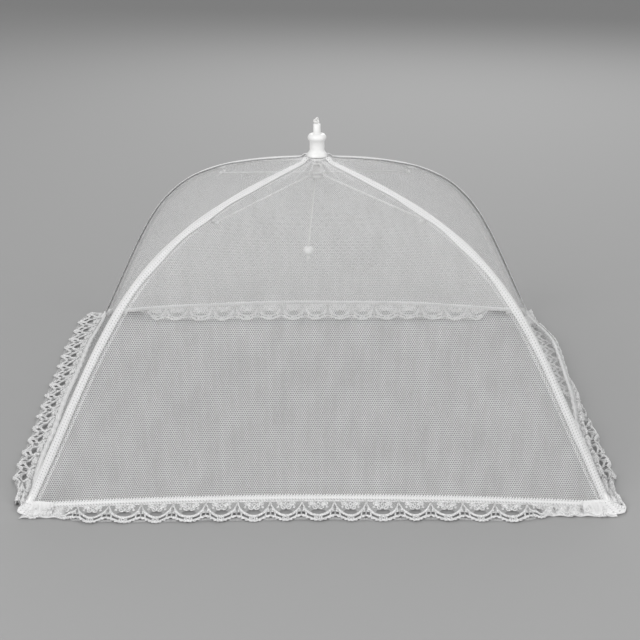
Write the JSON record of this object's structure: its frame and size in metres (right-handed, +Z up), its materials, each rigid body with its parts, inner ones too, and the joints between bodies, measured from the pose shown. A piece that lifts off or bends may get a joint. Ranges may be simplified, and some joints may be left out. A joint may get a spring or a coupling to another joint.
{
  "type": "mesh food cover umbrella",
  "caption": "Square folding net cover that stands over food like a low umbrella, with sprung ribs, a plug-in runner, a lace border and a pull cord.",
  "frame": {"origin": "middle of the square footprint, on the table that the cover stands on", "axes": "+Z up through the crown; the sides of the square lie along X and Y, and the front side faces -Y"},
  "size_m": [0.474, 0.474, 0.2501],
  "materials": {
    "white_plastic": "semi-gloss white moulding",
    "bead_plastic": "satin white bead",
    "wire": "white-coated steel wire",
    "net": "fine hexagonal polyester net",
    "tape": "woven white binding tape",
    "lace": "white scalloped lace",
    "cord": "white braided cord"
  },
  "bodies": {
    "runner": {"runner": "white_plastic", "runner_ring": "wire", "cord_in_tube": "cord", "pull_cord": "cord", "bead": "bead_plastic", "end_knot": "cord", "top_knot": "cord"},
    "crown": {"crown_cap": "white_plastic", "crown_hub": "white_plastic", "crown_ring": "wire", "canopy_front": "net", "hem_front": "tape", "lace_front": "lace", "canopy_right": "net", "hem_right": "tape", "lace_right": "lace", "canopy_rear": "net", "hem_rear": "tape", "lace_rear": "lace", "canopy_left": "net", "hem_left": "tape", "lace_left": "lace", "seam_tape_front_left": "tape", "seam_tape_front_right": "tape", "seam_tape_rear_right": "tape", "seam_tape_rear_left": "tape"},
    "rib_front_left": {"rib_front_left": "wire", "rib_clip_front_left": "white_plastic", "tip_cap_front_left": "white_plastic", "corner_pocket_front_left": "tape"},
    "stretcher_front_left": {"stretcher_front_left": "wire", "rivet_front_left": "wire"},
    "rib_front_right": {"rib_front_right": "wire", "rib_clip_front_right": "white_plastic", "tip_cap_front_right": "white_plastic", "corner_pocket_front_right": "tape"},
    "stretcher_front_right": {"stretcher_front_right": "wire", "rivet_front_right": "wire"},
    "rib_rear_right": {"rib_rear_right": "wire", "rib_clip_rear_right": "white_plastic", "tip_cap_rear_right": "white_plastic", "corner_pocket_rear_right": "tape"},
    "stretcher_rear_right": {"stretcher_rear_right": "wire", "rivet_rear_right": "wire"},
    "rib_rear_left": {"rib_rear_left": "wire", "rib_clip_rear_left": "white_plastic", "tip_cap_rear_left": "white_plastic", "corner_pocket_rear_left": "tape"},
    "stretcher_rear_left": {"stretcher_rear_left": "wire", "rivet_rear_left": "wire"}
  },
  "joints": [
    {"name": "crown_slide", "type": "slide", "parent": "runner", "child": "crown", "axis": [0, 0, 1], "range_m": [0, 0.2002]},
    {"name": "rib_fold_front_left", "type": "hinge", "parent": "crown", "child": "rib_front_left", "pos_m": [-0.00445, -0.00445, 0.2135], "axis": [0.7071, -0.7071, 0], "range_deg": [0, 54.1]},
    {"name": "stretcher_swing_front_left", "type": "hinge", "parent": "runner", "child": "stretcher_front_left", "pos_m": [-0.00389, -0.00389, 0.2025], "axis": [-0.7071, 0.7071, 0], "range_deg": [0, 78.15]},
    {"name": "rib_fold_front_right", "type": "hinge", "parent": "crown", "child": "rib_front_right", "pos_m": [0.00445, -0.00445, 0.2135], "axis": [0.7071, 0.7071, 0], "range_deg": [0, 54.1]},
    {"name": "stretcher_swing_front_right", "type": "hinge", "parent": "runner", "child": "stretcher_front_right", "pos_m": [0.00389, -0.00389, 0.2025], "axis": [-0.7071, -0.7071, 0], "range_deg": [0, 78.15]},
    {"name": "rib_fold_rear_right", "type": "hinge", "parent": "crown", "child": "rib_rear_right", "pos_m": [0.00445, 0.00445, 0.2135], "axis": [-0.7071, 0.7071, 0], "range_deg": [0, 54.1]},
    {"name": "stretcher_swing_rear_right", "type": "hinge", "parent": "runner", "child": "stretcher_rear_right", "pos_m": [0.00389, 0.00389, 0.2025], "axis": [0.7071, -0.7071, 0], "range_deg": [0, 78.15]},
    {"name": "rib_fold_rear_left", "type": "hinge", "parent": "crown", "child": "rib_rear_left", "pos_m": [-0.00445, 0.00445, 0.2135], "axis": [-0.7071, -0.7071, 0], "range_deg": [0, 54.1]},
    {"name": "stretcher_swing_rear_left", "type": "hinge", "parent": "runner", "child": "stretcher_rear_left", "pos_m": [-0.00389, 0.00389, 0.2025], "axis": [0.7071, 0.7071, 0], "range_deg": [0, 78.15]}
  ],
  "couplings": [
    {"joint": "rib_fold_front_left", "follows": "crown_slide", "rad_per_m": 4.7077},
    {"joint": "stretcher_swing_front_left", "follows": "crown_slide", "rad_per_m": 6.8043},
    {"joint": "rib_fold_front_right", "follows": "crown_slide", "rad_per_m": 4.7077},
    {"joint": "stretcher_swing_front_right", "follows": "crown_slide", "rad_per_m": 6.8043},
    {"joint": "rib_fold_rear_right", "follows": "crown_slide", "rad_per_m": 4.7077},
    {"joint": "stretcher_swing_rear_right", "follows": "crown_slide", "rad_per_m": 6.8043},
    {"joint": "rib_fold_rear_left", "follows": "crown_slide", "rad_per_m": 4.7077},
    {"joint": "stretcher_swing_rear_left", "follows": "crown_slide", "rad_per_m": 6.8043}
  ]
}
